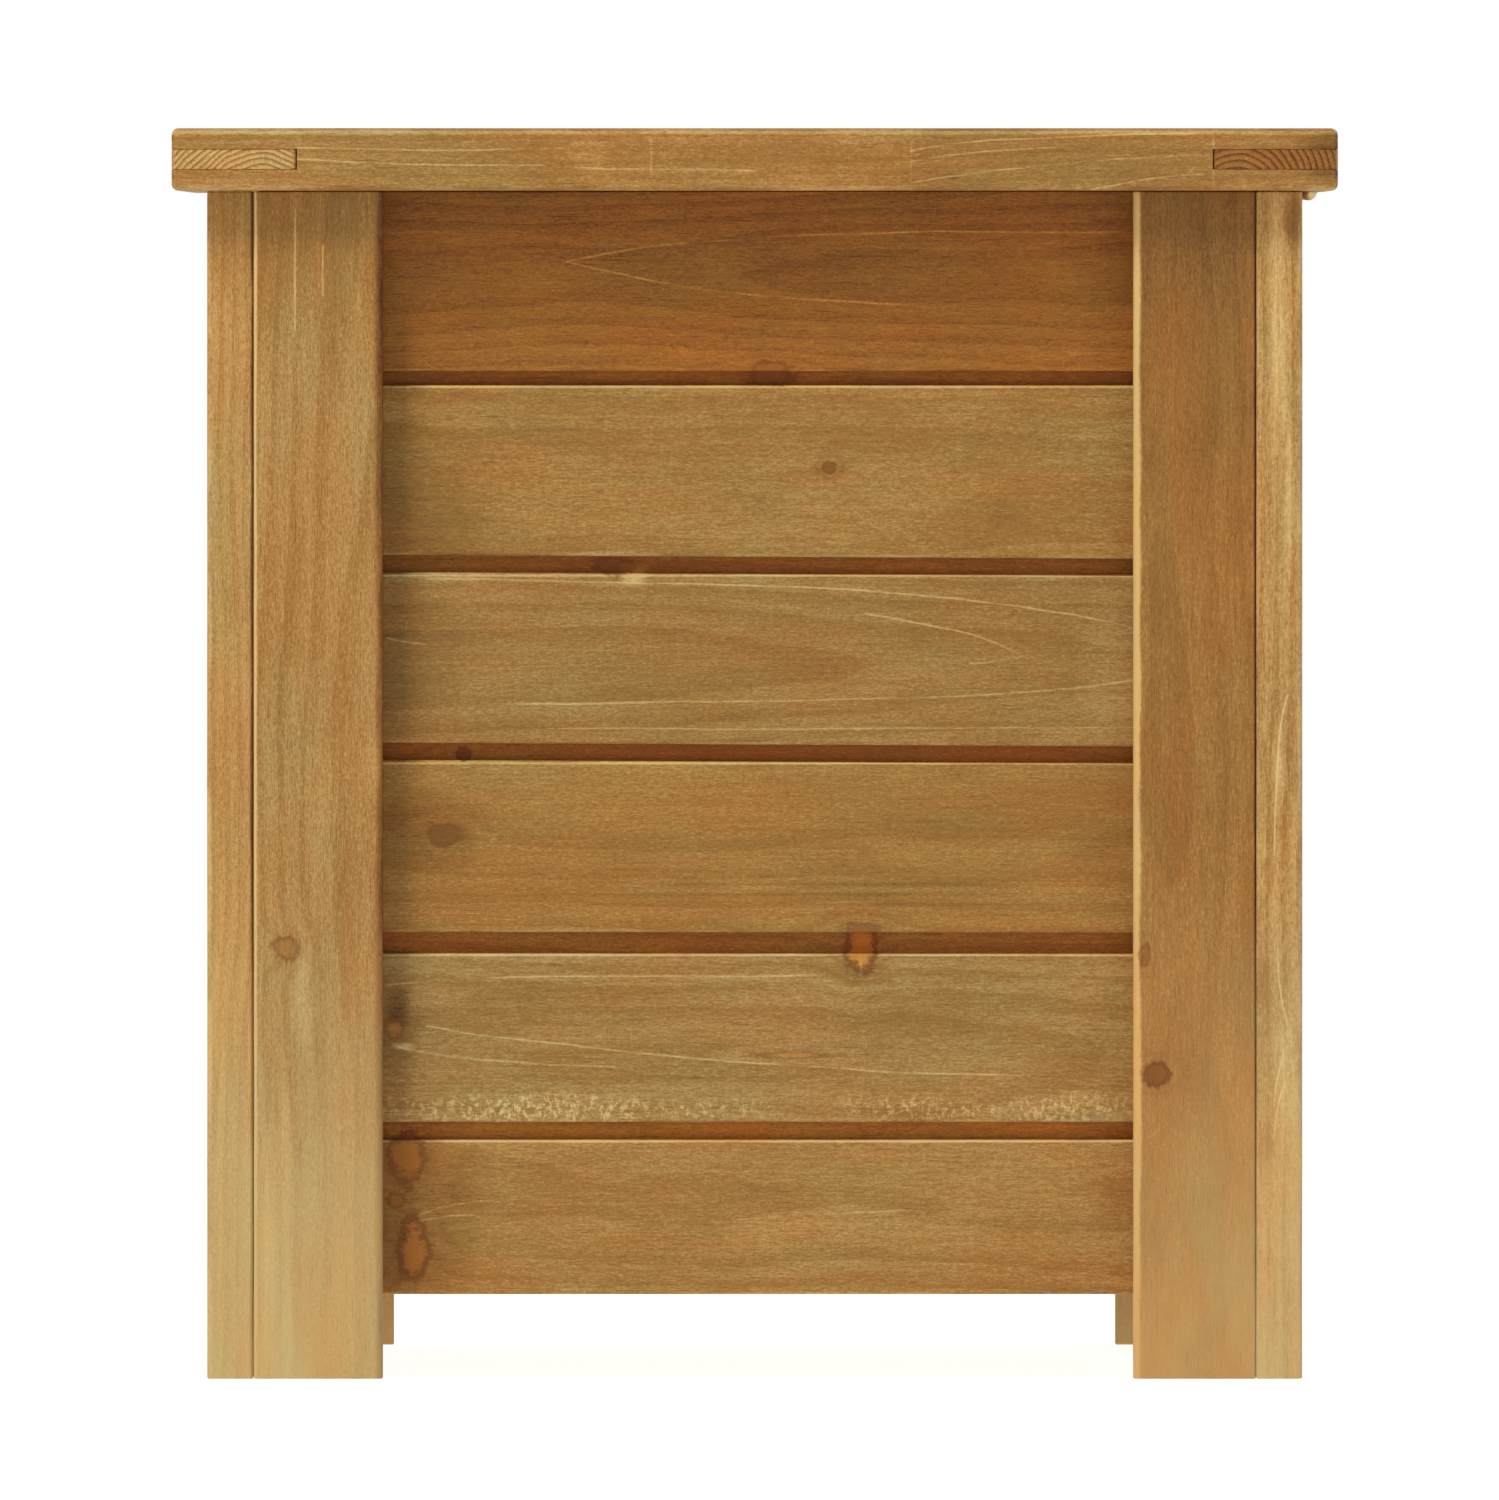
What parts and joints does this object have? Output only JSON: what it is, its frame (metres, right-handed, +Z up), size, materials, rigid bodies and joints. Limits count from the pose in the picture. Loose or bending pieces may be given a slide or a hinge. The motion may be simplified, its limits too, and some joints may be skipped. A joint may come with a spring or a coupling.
{
  "type": "wooden toy box",
  "caption": "Rectangular toy box of tongued-and-grooved boards between L-shaped corner posts, with a framed lift-up lid that a gas strut holds open.",
  "frame": {"origin": "on the floor, in the middle of the box as seen from above, with the lid closed", "axes": "X runs along the box, the front faces -Y and +Z is up; the pictured end is the one that faces +X"},
  "size_m": [0.9, 0.466, 0.5],
  "materials": {
    "post_wood": "honey-brown stained pine, satin wax",
    "wall_wood": "honey-brown stained pine, satin wax",
    "lid_wood": "honey-brown stained pine, satin wax",
    "inside_wood": "plain planed pine",
    "plywood": "plain sanded plywood",
    "brass": "satin brass plate",
    "zinc_plate": "bright zinc plate",
    "black_paint": "black enamel, semi-gloss",
    "chrome_rod": "hard chrome"
  },
  "bodies": {
    "box": {"front_stile_left": "post_wood", "back_stile_left": "post_wood", "front_stile_right": "post_wood", "back_stile_right": "post_wood", "left_end_stile_front": "post_wood", "left_end_stile_back": "post_wood", "right_end_stile_front": "post_wood", "right_end_stile_back": "post_wood", "hinge_rail": "post_wood", "front_board_1": "wall_wood", "front_board_2": "wall_wood", "front_board_3": "wall_wood", "front_board_4": "wall_wood", "front_board_5": "wall_wood", "front_board_6": "wall_wood", "right_end_board_1": "wall_wood", "right_end_board_2": "wall_wood", "right_end_board_3": "wall_wood", "right_end_board_4": "wall_wood", "right_end_board_5": "wall_wood", "right_end_board_6": "wall_wood", "back_board_1": "wall_wood", "back_board_2": "wall_wood", "back_board_3": "wall_wood", "back_board_4": "wall_wood", "back_board_5": "wall_wood", "back_board_6": "wall_wood", "left_end_board_1": "wall_wood", "left_end_board_2": "wall_wood", "left_end_board_3": "wall_wood", "left_end_board_4": "wall_wood", "left_end_board_5": "wall_wood", "left_end_board_6": "wall_wood", "floor_batten_front": "inside_wood", "floor_batten_back": "inside_wood", "floor_batten_left": "inside_wood", "floor_batten_right": "inside_wood", "floor_bearer": "inside_wood", "floor_panel": "plywood", "hinge_left_fixed_leaf": "brass", "hinge_left_pin": "brass", "hinge_right_fixed_leaf": "brass", "hinge_right_pin": "brass", "strut_wall_bracket": "zinc_plate"},
    "lid": {"lid_rail_left": "lid_wood", "lid_rail_right": "lid_wood", "lid_rail_front": "lid_wood", "lid_rail_back": "lid_wood", "lid_board_1": "lid_wood", "lid_board_2": "lid_wood", "lid_board_3": "lid_wood", "lid_board_4": "lid_wood", "lid_board_5": "lid_wood", "lid_cleat_left": "lid_wood", "lid_cleat_right": "lid_wood", "hinge_left_lid_leaf": "brass", "hinge_right_lid_leaf": "brass", "strut_lid_bracket": "zinc_plate"},
    "strut_cylinder": {"strut_cylinder": "black_paint"},
    "strut_rod": {"strut_rod": "chrome_rod"}
  },
  "joints": [
    {"name": "lid_hinge", "type": "hinge", "parent": "box", "child": "lid", "pos_m": [0, 0.2226, 0.4746], "axis": [-1, 0, 0], "range_deg": [0, 82]},
    {"name": "strut_foot", "type": "hinge", "parent": "box", "child": "strut_cylinder", "pos_m": [0.388, 0.16234, 0.28389], "axis": [-1, 0, 0], "range_deg": [0, 41]},
    {"name": "strut_head", "type": "hinge", "parent": "lid", "child": "strut_rod", "pos_m": [0.388, 0.02278, 0.466], "axis": [-1, 0, 0], "range_deg": [-41, 0]}
  ],
  "couplings": [
    {"joint": "strut_foot", "follows": "lid_hinge", "ratio": 0.5},
    {"joint": "strut_head", "follows": "lid_hinge", "ratio": -0.5}
  ]
}
